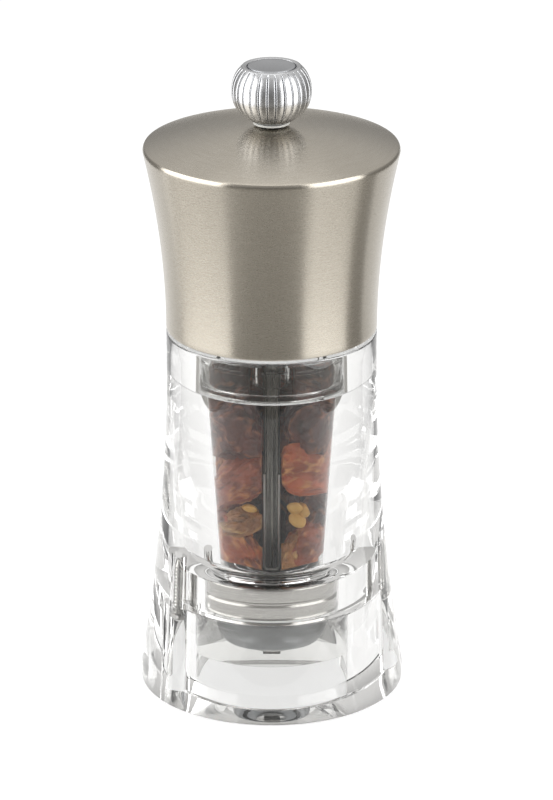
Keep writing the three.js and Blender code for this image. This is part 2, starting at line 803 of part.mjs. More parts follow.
place(drive, "guide_bush", guideBush(BUSH_TOP - HUB_Z), materials.blackPlastic, HUB_Z);
place(drive, "drive_shaft", driveShaft(), materials.polishedSteel, SHAFT_FOOT);
place(drive, "grinding_cone", grindingCone(), materials.groundSteel, CONE_Z);
place(drive, "cone_clip", coneClip(), materials.polishedSteel, CLIP_Z);
place(drive, "agitator_hairpin", agitatorHairpin(), materials.polishedSteel);
place(drive, "agitator_foot", agitatorFoot(), materials.polishedSteel);

const washerThickness = 0.5;
const washer = ring(4.8, 2.9, washerThickness, COARSE);
place(drive, "spring_washer", washer, materials.polishedSteel, CONE_TOP + GAP);

const springWire = 0.3;
const springFoot = CONE_TOP + 2 * GAP + washerThickness + springWire;
const springTop = HUB_Z - GAP - springWire;
const spring = wire(new Helix(3.5, springTop - springFoot, 1.25), springWire, 24);
place(drive, "compression_spring", spring, materials.polishedSteel, springFoot);

place(head, "head_shell", headShell(), materials.brushedSteel);
place(head, "head_core", headCore(), materials.blackPlastic, CORE_FLOOR_Z);
place(head, "neck_collar", neckCollar(), materials.clear, COLLAR_FOOT);
place(head, "drive_insert", driveInsert(), materials.groundSteel, CORE_FLOOR_Z + GAP);
place(head, "slip_ring", ring(21.2, 17.4, 1.1), materials.whitePlastic, BODY_TOP + GAP);

const knobWasher = ring(4.4, 2.3, WASHER_THICKNESS, COARSE);
place(knob, "knob_washer", knobWasher, materials.whitePlastic, WASHER_Z);
place(knob, "knob_body", knobBody(), materials.castZinc, KNOB_FOOT);
const insertHeight = INSERT_TOP - KNOB_FOOT - GAP;
const insert = ring(KNOB_BORE.radius - GAP, THREAD_RADIUS + GAP, insertHeight, COARSE);
place(knob, "knob_insert", insert, materials.brass, KNOB_FOOT + GAP);
const capZ = MILL_HEIGHT - KNOB_DISH + GAP;
place(knob, "knob_cap", ring(4.9, 0, 0.6, COARSE), materials.castZinc, capZ);

export default mill;
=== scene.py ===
"""The looks of a manual spice mill: clear flared body, brushed metal head, fluted knob.

Sizes are in millimetres and become metres where a mesh is made. Z points up, and the front
faces -Y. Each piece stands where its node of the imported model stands, the chillies only
roughly so.
"""

import math

import bmesh
import bpy
from mathutils import Matrix, Vector, noise


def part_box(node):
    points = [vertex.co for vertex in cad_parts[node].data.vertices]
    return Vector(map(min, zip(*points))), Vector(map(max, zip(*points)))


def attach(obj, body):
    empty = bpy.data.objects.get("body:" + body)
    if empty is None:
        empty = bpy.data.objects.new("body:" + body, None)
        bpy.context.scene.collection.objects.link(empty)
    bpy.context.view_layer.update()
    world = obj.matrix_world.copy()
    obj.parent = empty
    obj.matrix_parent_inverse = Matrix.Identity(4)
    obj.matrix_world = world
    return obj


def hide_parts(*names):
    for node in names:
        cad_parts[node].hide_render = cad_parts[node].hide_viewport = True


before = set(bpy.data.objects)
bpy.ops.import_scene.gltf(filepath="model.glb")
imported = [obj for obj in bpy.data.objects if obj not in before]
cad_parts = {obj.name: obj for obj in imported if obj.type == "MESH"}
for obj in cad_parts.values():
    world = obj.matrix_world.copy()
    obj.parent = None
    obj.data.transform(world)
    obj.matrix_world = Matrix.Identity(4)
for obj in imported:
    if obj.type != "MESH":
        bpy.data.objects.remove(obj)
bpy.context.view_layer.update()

MM = 0.001
TURN = 2 * math.pi

# Brightness of the room at eye level, its share towards the front, and its brightness overhead,
# then that of the top light and of the floor's glow.
WORLD_LEVEL = 0.3
WORLD_FRONT = 0.6
WORLD_TOP = 0.75
TOP_RADIANCE = 0.8
FLOOR_GLOW = 0.76

# The white sheet that the mill stands on, in metres: half its width at its front edge and
# behind the mill, and how far it reaches in front.
SHEET_HALF = 0.1
SHEET_SPREAD = 0.22
SHEET_FRONT = 0.095


# ---- Places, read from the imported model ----


def span(node, axis=2):
    """Lowest and highest coordinate of a node along an axis, in millimetres."""
    low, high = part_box(node)
    return low[axis] / MM, high[axis] / MM


def reach(node):
    """The largest radius of a round node, in millimetres."""
    return span(node, 0)[1]


FOOT_RADIUS = reach("clear_body")
BODY_TOP = span("clear_body")[1]
SHELL_FOOT, DOME_TOP = span("head_shell")
RIM_RADIUS = reach("head_shell")
KNOB_FOOT, KNOB_TOP = span("knob_body")
GUIDE_FOOT, COLLAR_TOP = span("neck_collar")
SLEEVE_FOOT, SLEEVE_TOP = span("housing_sleeve")
SLEEVE_RADIUS = reach("housing_sleeve")
RING_FOOT, RING_TOP = span("retaining_ring")
BOWL_FOOT, BOWL_TOP = span("stator_bowl")
AGITATOR_FOOT, AGITATOR_TOP = span("agitator_hairpin")
AGITATOR_WIRE = 0.25
CHILLI_FLOOR = AGITATOR_FOOT + 2 * AGITATOR_WIRE + 1.5
SHAFT_FOOT, SHAFT_TOP = span("drive_shaft")
SHAFT_SIDE = 2 * reach("drive_shaft")

# Sizes that no node's box gives.
GAP = 0.3
WAIST_RADIUS = 22.7
RIM_Z = 121.6
SHELL_BEND_Z = 100.7
SHELL_WALL = 0.8
DOME_FLAT_RADIUS = 5.2
FOOT_BAND = 2.6
FLARE_BEND_Z = 42.0
FLARE_TOP = 72.0
RECESS_RADIUS = 17.0
RECESS_TOP = SLEEVE_FOOT - 0.2
BORE_RADIUS = SLEEVE_RADIUS + GAP
BORE_TOP = SLEEVE_TOP + GAP
CHAMBER_MOUTH_RADIUS = 9.0
CHAMBER_MOUTH_Z = BORE_TOP + 0.6
CHAMBER_FOOT_RADIUS = 12.6
CHAMBER_FOOT_Z = 31.0
CHAMBER_FULLNESS = 0.4
CHAMBER_TOP_RADIUS = 14.7
NECK_FLOOR = 70.0
NECK_RADIUS = 16.2
COLLAR_FOOT = NECK_FLOOR + GAP
COLLAR_BORE_RADIUS = 14.6
SCREW_CIRCLE = 17.2
SCREW_ANGLES = {"left": math.radians(198), "right": math.radians(18)}
SCREW_SHANK_HOLE = 1.75
SCREW_POCKET = 3.2
HOUSING_INNER_RADIUS = 12.65
RIM_OUTER_RADIUS = 12.35
FUNNEL_RADIUS = 10.8
RING_HOLE_RADIUS = 12.0
HUB_RADIUS = 5.0
HUB_BORE_RADIUS = 3.8
HUB_HEIGHT = 2.2
SHAFT_SHOULDER = 121.0
GRIND_TEETH = 24
TOOTH = 0.2
KNOB_FLUTES = 28
KNOB_BORE_RADIUS = 3.2


# ---- Mesh helpers ----


def arc_points(corner, before, after, size, step=math.radians(10)):
    """Points of the arc of radius size that rounds a corner of an outline."""
    to_before = (before - corner).normalized()
    to_after = (after - corner).normalized()
    half = to_before.angle(to_after) / 2
    centre = corner + (to_before + to_after).normalized() * (size / math.sin(half))
    start = corner + to_before * (size / math.tan(half)) - centre
    end = corner + to_after * (size / math.tan(half)) - centre
    first = math.atan2(start.y, start.x)
    turn = (math.atan2(end.y, end.x) - first + math.pi) % TURN - math.pi
    count = max(2, round(abs(turn) / step))
    angles = [first + turn * i / count for i in range(count + 1)]
    return [centre + Vector((math.cos(a), math.sin(a))) * size for a in angles]


def rounded(corners):
    """An outline from (radius, height) corners. A third value rounds its corner."""
    places = [Vector(corner[:2]) for corner in corners]
    points = []
    for i, corner in enumerate(corners):
        if len(corner) < 3:
            points.append(places[i])
            continue
        following = places[(i + 1) % len(places)]
        points += arc_points(places[i], places[i - 1], following, corner[2])
    return [(point.x, point.y) for point in points]


def bend(start, control, end, count):
    """Points of a quadratic curve, without its last one."""
    start, control, end = Vector(start), Vector(control), Vector(end)
    points = []
    for i in range(count):
        t = i / count
        points.append((1 - t) ** 2 * start + 2 * t * (1 - t) * control + t * t * end)
    return [(point.x, point.y) for point in points]


def revolve(outline, segments=192, warp=None):
    """Turns an outline about Z. It closes on itself unless it starts and ends on the axis.
    warp(angle, radius, height) gives each point's new radius."""
    bm = bmesh.new()
    rings = []
    for radius, height in outline:
        if radius < 1e-6:
            rings.append([bm.verts.new((0, 0, height))] * segments)
            continue
        row = []
        for i in range(segments):
            angle = TURN * i / segments
            r = warp(angle, radius, height) if warp else radius
            row.append(bm.verts.new((r * math.cos(angle), r * math.sin(angle), height)))
        rings.append(row)
    pairs = list(zip(rings, rings[1:]))
    if outline[0][0] > 1e-6:
        pairs.append((rings[-1], rings[0]))
    for low, high in pairs:
        for i in range(segments):
            j = (i + 1) % segments
            corners = dict.fromkeys([low[i], low[j], high[j], high[i]])
            if len(corners) > 2:
                bm.faces.new(corners)
    bmesh.ops.recalc_face_normals(bm, faces=bm.faces)
    return bm


def add_bar(bm, sides, low, high, radius_x, radius_y=None, centre=(0, 0), edge=0.0, turn=0.0):
    """Adds a closed prism between two heights: a box with rounded edges when sides is 4."""
    radius_y = radius_y or radius_x
    if sides == 4:
        quarter = [Vector((radius_x, radius_y)), Vector((-radius_x, radius_y))]
        quarter += [-quarter[0], -quarter[1]]
        flat = rounded([(p.x, p.y, edge) if edge else (p.x, p.y) for p in quarter])
    else:
        angles = [TURN * i / sides for i in range(sides)]
        flat = [(radius_x * math.cos(a), radius_y * math.sin(a)) for a in angles]
    rotate = Matrix.Rotation(turn, 2)
    loops = []
    for height in (low, high):
        places = [rotate @ Vector(point) + Vector(centre) for point in flat]
        loops.append([bm.verts.new((p.x, p.y, height)) for p in places])
    bottom, top = loops
    made = [bm.faces.new(bottom[::-1]), bm.faces.new(top)]
    for i in range(len(bottom)):
        j = (i + 1) % len(bottom)
        made.append(bm.faces.new((bottom[i], bottom[j], top[j], top[i])))
    bmesh.ops.recalc_face_normals(bm, faces=made)
    return bm


SHARP = math.radians(32)


def to_object(name, bm, sharp=SHARP):
    """Makes an object in metres, smooth except along its sharp edges."""
    bmesh.ops.scale(bm, vec=(MM, MM, MM), verts=bm.verts)
    for face in bm.faces:
        face.smooth = True
    for edge in bm.edges:
        edge.smooth = len(edge.link_faces) == 2 and edge.calc_face_angle(0) < sharp
    mesh = bpy.data.meshes.new(name)
    bm.to_mesh(mesh)
    bm.free()
    obj = bpy.data.objects.new(name, mesh)
    bpy.context.scene.collection.objects.link(obj)
    return obj


def boolean(obj, other, operation):
    """Cuts or joins another object, which is used up."""
    change = obj.modifiers.new(operation, "BOOLEAN")
    change.operation = operation
    change.solver = "EXACT"
    change.object = other
    depsgraph = bpy.context.evaluated_depsgraph_get()
    mesh = bpy.data.meshes.new_from_object(obj.evaluated_get(depsgraph))
    obj.modifiers.clear()
    obj.data = mesh
    bpy.data.objects.remove(other)
    bm = bmesh.new()
    bm.from_mesh(mesh)
    for edge in bm.edges:
        angle = edge.calc_face_angle(0) if len(edge.link_faces) == 2 else 0
        edge.smooth = angle < SHARP
    bm.to_mesh(mesh)
    bm.free()
    return obj


def finish_piece(obj, body, slot, material, *nodes):
    """Gives a piece its finish and the body that carries it, and hides the nodes that it stands
    for.
    """
    obj.data.materials.clear()
    obj.data.materials.append(material)
    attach(obj, body)
    if nodes:
        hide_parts(*nodes)
    return obj


# ---- Materials ----


def set_range(node, start, stop, low, high):
    """Sets a Map Range node to map start..stop to low..high."""
    limits = {"From Min": start, "From Max": stop, "To Min": low, "To Max": high}
    for label, number in limits.items():
        node.inputs[label].default_value = number


class Surface:
    """A material with one Principled shader, built up node by node."""

    def __init__(self, name, **sockets):
        self.material = bpy.data.materials.new(name)
        self.material.use_nodes = True
        self.tree = self.material.node_tree
        self.shader = self.tree.nodes["Principled BSDF"]
        for label, value in sockets.items():
            self.shader.inputs[label.replace("_", " ")].default_value = value

    def add(self, kind, settings=None, **links):
        """Adds a node. Links name its sockets, and hold values or other nodes' outputs."""
        node = self.tree.nodes.new("ShaderNode" + kind)
        for label, value in (settings or {}).items():
            setattr(node, label, value)
        for label, value in links.items():
            socket = node.inputs[label.replace("_", " ")]
            self.feed(socket, value)
        return node

    def feed(self, socket, value):
        if isinstance(value, bpy.types.NodeSocket):
            self.tree.links.new(value, socket)
        else:
            socket.default_value = value

    def noise(self, stretch, detail=3.0, roughness=0.55):
        """Noise that repeats stretch times a metre along X, Y and Z."""
        place = self.add("TexCoord").outputs["Object"]
        mapped = self.add("Mapping", Vector=place, Scale=stretch).outputs[0]
        made = self.add("TexNoise", Vector=mapped, Scale=1.0, Detail=detail, Roughness=roughness)
        return made.outputs["Fac"]

    def ranged(self, value, low, high, start=0.3, stop=0.7):
        """Maps start..stop of a value to low..high."""
        node = self.add("MapRange", Value=value)
        set_range(node, start, stop, low, high)
        return node.outputs[0]

    def blend(self, amount, first, second):
        """A colour between two colours."""
        node = self.add("Mix", {"data_type": "RGBA"})
        self.feed(node.inputs["Factor"], amount)
        self.feed(node.inputs[6], first)
        self.feed(node.inputs[7], second)
        return node.outputs[2]

    def bump(self, height, distance, strength=1.0):
        node = self.add("Bump", Height=height, Strength=strength, Distance=distance)
        self.tree.links.new(node.outputs[0], self.shader.inputs["Normal"])

    def set(self, label, value):
        self.feed(self.shader.inputs[label], value)


def colour(red, green, blue):
    """A colour from its sRGB values, 0 to 255."""
    channels = []
    for value in (red, green, blue):
        c = value / 255
        channels.append(c / 12.92 if c <= 0.04045 else ((c + 0.055) / 1.055) ** 2.4)
    return (*channels, 1.0)


def clear_acrylic(name="clear_acrylic", tint=(238, 238, 237)):
    """Polished clear plastic with the faintest haze."""
    surface = Surface(name, Base_Color=colour(*tint), IOR=1.49, Transmission_Weight=1.0)
    haze = surface.noise((60, 60, 90), detail=2.0)
    surface.set("Roughness", surface.ranged(haze, 0.0, 0.02, 0.45, 0.75))
    return surface.material


def brushed_head():
    """Stainless steel, brushed round the axis, in a slightly warm grey."""
    surface = Surface("brushed_head", Metallic=1.0, Anisotropic=0.85, Anisotropic_Rotation=0.25)
    fine = surface.noise((900, 900, 24000), detail=2.0)
    broad = surface.noise((260, 260, 7000), detail=3.0)
    tone = surface.ranged(broad, 0.0, 1.0, 0.2, 0.8)
    surface.set("Base Color", surface.blend(tone, colour(181, 174, 162), colour(190, 184, 173)))
    surface.set("Roughness", surface.ranged(fine, 0.24, 0.3, 0.2, 0.8))
    tangent = surface.add("Tangent", {"direction_type": "RADIAL", "axis": "Z"})
    surface.set("Tangent", tangent.outputs[0])
    surface.bump(fine, 0.000004, 0.5)
    return surface.material


def satin_metal(name, tone, shine, grain=2600):
    """Metal with a fine even grain."""
    surface = Surface(name, Metallic=1.0)
    speck = surface.noise((grain, grain, grain), detail=2.0)
    cloud = surface.noise((120, 120, 120))
    dark = tuple(round(c * 0.86) for c in tone)
    surface.set("Base Color", surface.blend(cloud, colour(*dark), colour(*tone)))
    surface.set("Roughness", surface.ranged(speck, shine * 0.9, shine * 1.15))
    surface.bump(speck, 0.000002, 0.3)
    return surface.material


def turned_metal(name, tone, shine, pitch=5000):
    """Metal with the fine rings that turning leaves."""
    surface = Surface(name, Metallic=1.0, Anisotropic=0.35, Anisotropic_Rotation=0.25)
    rings = surface.noise((150, 150, pitch), detail=2.0)
    dark = tuple(round(c * 0.85) for c in tone)
    surface.set("Base Color", surface.blend(rings, colour(*dark), colour(*tone)))
    surface.set("Roughness", surface.ranged(rings, shine * 0.8, shine * 1.25))
    tangent = surface.add("Tangent", {"direction_type": "RADIAL", "axis": "Z"})
    surface.set("Tangent", tangent.outputs[0])
    surface.bump(rings, 0.00001, 0.4)
    return surface.material


def drawn_metal(name, tone, shine):
    """Metal with fine streaks along Z, as a drawn bar has."""
    surface = Surface(name, Metallic=1.0)
    streaks = surface.noise((2600, 2600, 25), detail=3.0)
    dark = tuple(round(c * 0.4) for c in tone)
    bands = surface.ranged(streaks, 0.0, 1.0, 0.4, 0.62)
    surface.set("Base Color", surface.blend(bands, colour(*dark), colour(*tone)))
    surface.set("Roughness", surface.ranged(streaks, shine * 0.7, shine * 1.4))
    surface.bump(streaks, 0.00001, 0.4)
    return surface.material


def moulded_plastic(name, tone, shine=0.45):
    """Matt moulded plastic with a fine spark-eroded grain."""
    surface = Surface(name, Specular_IOR_Level=0.45)
    grain = surface.noise((3500, 3500, 3500), detail=2.0)
    cloud = surface.noise((90, 90, 90))
    dark = tuple(round(c * 0.93) for c in tone)
    surface.set("Base Color", surface.blend(cloud, colour(*dark), colour(*tone)))
    surface.set("Roughness", surface.ranged(grain, shine * 0.85, shine * 1.15))
    surface.bump(grain, 0.00002, 0.25)
    return surface.material


def chilli_skin(name, dark, middle, edge):
    """Dry chilli skin: painted shade in the folds and a painted golden highlight along the ridges,
    which the mesh marks.
    """
    surface = Surface(name, Specular_IOR_Level=0.5, Coat_Weight=0.12, Coat_Roughness=0.3)
    ridge = surface.add("Attribute", {"attribute_name": "ridge"}).outputs["Fac"]
    patches = surface.noise((170, 170, 170), detail=3.0)
    fibres = surface.noise((1500, 1500, 1500), detail=4.0)
    patchy = surface.ranged(patches, 0.0, 1.0, 0.4, 0.62)
    ground = surface.blend(patchy, colour(*dark), colour(*middle))
    # Painted highlight: the ridges take the golden edge tone.
    ridge_highlight_mask = surface.ranged(ridge, 0.0, 1.0, 0.62, 0.95)
    warm = surface.blend(ridge_highlight_mask, ground, colour(*edge))
    # Painted shade: the deepest folds darken to half the dark tone.
    fold_shade_colour = tuple(round(c * 0.5) for c in dark)
    sunk = surface.ranged(ridge, 1.0, 0.0, 0.12, 0.4)
    with_fold_shade = surface.blend(sunk, warm, colour(*fold_shade_colour))
    worn = tuple(round(0.7 * c) for c in edge)
    surface.set("Base Color", surface.blend(surface.ranged(fibres, 0.0, 0.18), with_fold_shade, colour(*worn)))
    surface.set("Roughness", surface.ranged(fibres, 0.38, 0.62))
    surface.bump(fibres, 0.0003, 0.5)
    return surface.material


def seed_coat():
    """Chilli seeds: smooth, golden, a little darker in patches."""
    surface = Surface("seed_coat", Specular_IOR_Level=0.5, Coat_Weight=0.2, Coat_Roughness=0.3)
    patches = surface.noise((700, 700, 700), detail=3.0)
    surface.set("Base Color", surface.blend(patches, colour(196, 140, 58), colour(232, 188, 104)))
    surface.set("Roughness", surface.ranged(patches, 0.35, 0.5))
    surface.bump(patches, 0.00005, 0.4)
    return surface.material


def pale_floor():
    """A pale sweep that glows, so that it looks white and shadows on it stay soft."""
    surface = Surface("pale_floor", Specular_IOR_Level=0.0, Emission_Strength=FLOOR_GLOW)
    surface.set("Emission Color", (1, 1, 1, 1))
    cloud = surface.noise((14, 14, 14), detail=2.0)
    surface.set("Base Color", surface.blend(cloud, colour(158, 158, 158), colour(162, 162, 162)))
    surface.set("Roughness", surface.ranged(cloud, 0.5, 0.6))
    return surface.material


# ---- Body and mechanism ----


def screw_place(side):
    """Where a screw stands, seen from above."""
    angle = SCREW_ANGLES[side]
    return (SCREW_CIRCLE * math.cos(angle), SCREW_CIRCLE * math.sin(angle))


def body_shell():
    """The thick clear body: flared outside, conical chamber, neck, foot recess and pockets."""
    foot = FOOT_RADIUS
    flare = bend((foot, FOOT_BAND), (WAIST_RADIUS, FLARE_BEND_Z), (WAIST_RADIUS, FLARE_TOP), 48)
    mouth = (CHAMBER_MOUTH_RADIUS, CHAMBER_MOUTH_Z)
    corner = (CHAMBER_FOOT_RADIUS - CHAMBER_FULLNESS, CHAMBER_MOUTH_Z + CHAMBER_FULLNESS)
    bowl = bend((CHAMBER_FOOT_RADIUS, CHAMBER_FOOT_Z), corner, mouth, 20)
    corners = [
        (RECESS_RADIUS + 0.4, 0, 0.3),
        (foot - 0.1, 0, 0.45),
        *flare,
        (WAIST_RADIUS, FLARE_TOP),
        (WAIST_RADIUS, BODY_TOP, 0.5),
        (NECK_RADIUS, BODY_TOP, 0.3),
        (NECK_RADIUS, NECK_FLOOR, 0.25),
        (CHAMBER_TOP_RADIUS, NECK_FLOOR, 0.25),
        *bowl,
        (CHAMBER_MOUTH_RADIUS, CHAMBER_MOUTH_Z),
        (CHAMBER_MOUTH_RADIUS, BORE_TOP, 0.2),
        (BORE_RADIUS, BORE_TOP, 0.15),
        (BORE_RADIUS, RECESS_TOP, 0.15),
        (RECESS_RADIUS, RECESS_TOP, 0.4),
        (RECESS_RADIUS, 0.4, 0.2),
    ]
    body = to_object("body_shell", revolve(rounded(corners), 224))
    pilot_top = 31.0
    for side in SCREW_ANGLES:
        for radius, top in ((SCREW_POCKET, RECESS_TOP), (SCREW_SHANK_HOLE, pilot_top)):
            cutter = add_bar(bmesh.new(), 48, -1, top, radius, centre=screw_place(side))
            boolean(body, to_object("cutter", cutter), "DIFFERENCE")
    return finish_piece(body, "body", "clear_acrylic", CLEAR, "clear_body")


def housing_sleeve():
    """The polished sleeve round the mechanism, with a groove rolled into its middle."""
    low, high = SLEEVE_FOOT, SLEEVE_TOP
    middle = (low + high) / 2
    inner = HOUSING_INNER_RADIUS
    corners = [
        (inner, low, 0.2),
        (SLEEVE_RADIUS, low, 0.3),
        (SLEEVE_RADIUS, middle - 0.55, 0.2),
        (SLEEVE_RADIUS - 0.35, middle - 0.2, 0.15),
        (SLEEVE_RADIUS - 0.35, middle + 0.2, 0.15),
        (SLEEVE_RADIUS, middle + 0.55, 0.2),
        (SLEEVE_RADIUS, high, 0.5),
        (inner, high, 0.2),
    ]
    sleeve = to_object("housing_sleeve", revolve(rounded(corners), 192))
    return finish_piece(sleeve, "body", "polished_steel", SLEEVE, "housing_sleeve")


def retaining_ring():
    """The clear ring that closes the recess with a bell-shaped shoulder, and its screw ears."""
    low, high = RING_FOOT, RING_TOP
    outer, hole = RECESS_RADIUS - GAP / 2, RING_HOLE_RADIUS
    shoulder = bend((outer - 0.4, low), (outer - 1.2, low + 3.2), (hole, high - 0.6), 24)
    corners = [
        (outer, low, 0.15),
        (outer, high, 0.4),
        (hole, high, 0.1),
        (hole, high - 0.6),
        *reversed(shoulder),
    ]
    ring = to_object("retaining_ring", revolve(rounded(corners), 192))
    ear_foot = high - 1.6
    ear_radius = SCREW_POCKET - GAP
    for side in SCREW_ANGLES:
        centre = screw_place(side)
        room = add_bar(bmesh.new(), 40, low - 1, ear_foot, ear_radius, centre=centre)
        boolean(ring, to_object("room", room), "DIFFERENCE")
        ear = add_bar(bmesh.new(), 40, ear_foot, high, ear_radius, centre=centre)
        boolean(ring, to_object("ear", ear), "UNION")
        shank = add_bar(bmesh.new(), 32, low - 1, high + 1, SCREW_SHANK_HOLE, centre=centre)
        boolean(ring, to_object("shank", shank), "DIFFERENCE")
    return finish_piece(ring, "body", "clear_acrylic", CLEAR, "retaining_ring")


def saw(angle, count, lean=0.25):
    """A tooth wave from -1 to 1 that rises slowly and falls fast."""
    phase = (angle * count / TURN) % 1
    return 1 - 2 * phase / (1 - lean) if phase < 1 - lean else -1 + 2 * (phase - 1 + lean) / lean


def stator_bowl():
    """The fixed bowl: a funnel inside, and a toothed bore that widens downwards."""
    low, high = BOWL_FOOT, BOWL_TOP
    outer, side, outlet = RIM_OUTER_RADIUS, RING_HOLE_RADIUS - 0.5, 6.9
    shoulder, bite = low + 8.3, low + 3.0
    bowl = bend((outlet + 0.5, low), (side - 0.5, low + 1.0), (side, shoulder), 20)
    corners = [
        (outlet, low),
        *bowl,
        (side, shoulder, 0.3),
        (outer, shoulder, 0.2),
        (outer, high, 0.2),
        (FUNNEL_RADIUS, high, 0.2),
        (6.2, bite, 0.3),
    ]

    def warp(angle, radius, height):
        if radius > outlet + GAP or height > bite + 1:
            return radius
        return radius + TOOTH * saw(angle + 0.06 * (height - low), GRIND_TEETH)

    made = to_object("stator_bowl", revolve(rounded(corners), GRIND_TEETH * 10, warp))
    return finish_piece(made, "body", "ground_steel", GROUND, "stator_bowl")


def bridge_spider():
    """The bridge: a rim, three sloping arms and the hub that carries the shaft's bush."""
    low, high = span("bearing_bridge")
    rim_foot = BOWL_TOP + GAP
    hub_top = low + HUB_HEIGHT
    inner, outer = FUNNEL_RADIUS, RIM_OUTER_RADIUS
    rim = [(inner, rim_foot, 0.2), (outer, rim_foot, 0.2), (outer, high, 0.5), (inner, high, 0.5)]
    hub = [(HUB_BORE_RADIUS, low, 0.2), (HUB_RADIUS, low, 0.3)]
    hub += [(HUB_RADIUS, hub_top, 0.4), (HUB_BORE_RADIUS, hub_top, 0.3)]
    spider = to_object("bridge_spider", revolve(rounded(rim), 96))
    boolean(spider, to_object("hub", revolve(rounded(hub), 64)), "UNION")
    half_length, half_width, half_height, arm_z = 3.7, 1.1, 0.7, 23.0
    for i in range(3):
        half_arm = (-half_height, half_height, half_length, half_width)
        arm = add_bar(bmesh.new(), 4, *half_arm, edge=0.3)
        slope = Matrix.Rotation(-0.5, 4, "Y")
        out = Matrix.Translation(((inner + HUB_RADIUS) / 2, 0, arm_z))
        turn = Matrix.Rotation(TURN * i / 3 + TURN / 4, 4, "Z")
        bmesh.ops.transform(arm, matrix=turn @ out @ slope, verts=arm.verts)
        boolean(spider, to_object("arm", arm), "UNION")
    return finish_piece(spider, "body", "ground_steel", GROUND, "bearing_bridge")


def threaded_outline(root, crest, low, high, pitch):
    """The side of a thread, as rings of crests and roots from low to high."""
    points = []
    count = max(1, round((high - low) / pitch))
    for i in range(count):
        z = low + (high - low) * i / count
        step = (high - low) / count
        points += [(root, z + 0.1 * step), (crest, z + 0.45 * step), (crest, z + 0.6 * step)]
        points.append((root, z + 0.95 * step))
    return points


def housing_screw(side):
    """A pan-head screw with a cross recess below and a thread above."""
    node = "housing_screw_" + side
    low, high = span(node)
    head_top, head_radius = low + 1.7, 2.6
    edge = [(head_radius, low + 0.75), (1.9, low + 0.05), (head_radius, head_top)]
    arc = arc_points(*[Vector(point) for point in edge], 0.5)
    outline = [(0, low + 0.1), edge[1], *[(point.x, point.y) for point in arc]]
    outline += [(head_radius, head_top), (1.3, head_top)]
    outline += threaded_outline(1.12, 1.45, head_top + 0.6, high - 1.2, 0.8)
    outline += [(0.5, high - 0.2), (0, high)]
    bm = revolve(outline, 40)
    x, y = screw_place(side)
    bmesh.ops.translate(bm, verts=bm.verts, vec=(x, y, 0))
    screw = to_object("screw_" + side, bm, math.radians(40))
    for turn in (0.4, 0.4 + TURN / 4):
        slot = add_bar(bmesh.new(), 4, low - 0.5, low + 0.9, 1.5, 0.28, (x, y), 0.1, turn)
        boolean(screw, to_object("slot", slot), "DIFFERENCE")
    return finish_piece(screw, "body", "polished_steel", POLISHED, node)


# ---- Parts that turn with the head ----


def shaft_bar():
    """The square shaft with softened edges, a groove for the clip and a threaded end."""
    shoulder = SHAFT_SHOULDER
    bar = add_bar(bmesh.new(), 4, SHAFT_FOOT, shoulder, SHAFT_SIDE / 2, edge=0.4)
    shaft = to_object("shaft_bar", bar)
    thread = [(0, shoulder - 1), (1.6, shoulder - 1), (1.6, shoulder + 0.3)]
    thread += threaded_outline(1.45, 1.75, shoulder + 0.4, SHAFT_TOP - 0.5, 0.7)
    thread += [(1.3, SHAFT_TOP), (0, SHAFT_TOP)]
    boolean(shaft, to_object("thread", revolve(thread, 40), math.radians(40)), "UNION")
    clip_foot, clip_top = span("cone_clip")
    low, high = clip_foot - GAP, clip_top + GAP
    groove_radius, past = 1.35, 4
    groove = [(groove_radius, low), (past, low), (past, high), (groove_radius, high)]
    boolean(shaft, to_object("groove", revolve(groove, 40)), "DIFFERENCE")
    return finish_piece(shaft, "shaft", "polished_steel", DRAWN, "drive_shaft")


def toothed_cone():
    """The grinding cone: fine teeth below and four spiral feeding ribs above."""
    low, high = span("grinding_cone")
    skirt = low + 3.3
    rib_count, rib_twist, rib_depth = 4, 0.22, 0.14
    corners = [(0, low), (4, low), (5.85, low + 0.5), (5.7, low + 1.3), (5.45, low + 2.2)]
    corners += [(5.2, skirt), (5.6, skirt + 0.8), (5.55, high - 0.8), (5.4, high), (0, high)]

    def warp(angle, radius, height):
        if radius < 5:
            return radius
        if height <= skirt:
            return radius + TOOTH * saw(-angle + 0.08 * (height - low), GRIND_TEETH)
        wave = 1 - math.cos(rib_count * (angle - rib_twist * (height - low)))
        return radius * (1 - rib_depth * wave)

    cone = to_object("toothed_cone", revolve(corners, GRIND_TEETH * 10, warp))
    hole = add_bar(bmesh.new(), 4, low - 1, high + 1, SHAFT_SIDE / 2 + GAP, edge=0.2)
    boolean(cone, to_object("hole", hole), "DIFFERENCE")
    return finish_piece(cone, "shaft", "ground_steel", GROUND, "grinding_cone")


def sweep(places, wire, sides=12):
    """A closed round wire through a list of places, in millimetres."""
    bm = bmesh.new()
    rings = []
    across = None
    for i, place in enumerate(places):
        ahead = places[min(i + 1, len(places) - 1)] - places[max(i - 1, 0)]
        ahead.normalize()
        if across is None:
            across = ahead.orthogonal()
        across = (across - ahead * across.dot(ahead)).normalized()
        up = ahead.cross(across)
        angles = [TURN * k / sides for k in range(sides)]
        spokes = [across * math.cos(a) + up * math.sin(a) for a in angles]
        rings.append([bm.verts.new(place + spoke * wire) for spoke in spokes])
    for low, high in zip(rings, rings[1:]):
        for k in range(sides):
            j = (k + 1) % sides
            bm.faces.new((low[k], low[j], high[j], high[k]))
    bm.faces.new(rings[0][::-1])
    bm.faces.new(rings[-1])
    bmesh.ops.recalc_face_normals(bm, faces=bm.faces)
    return bm


def coil_spring():
    """The spring, as a swept round wire. It rides with the shaft and keeps its length."""
    low, high = span("compression_spring")
    wire, radius, turns, steps = 0.3, 3.5, 1.25, 80
    places = []
    for i in range(steps + 1):
        t = i / steps
        angle = TURN * turns * t
        z = low + wire + (high - low - 2 * wire) * t
        places.append(Vector((radius * math.cos(angle), radius * math.sin(angle), z)))
    spring = to_object("coil_spring", sweep(places, wire), math.radians(50))
    return finish_piece(spring, "shaft", "polished_steel", POLISHED, "compression_spring")


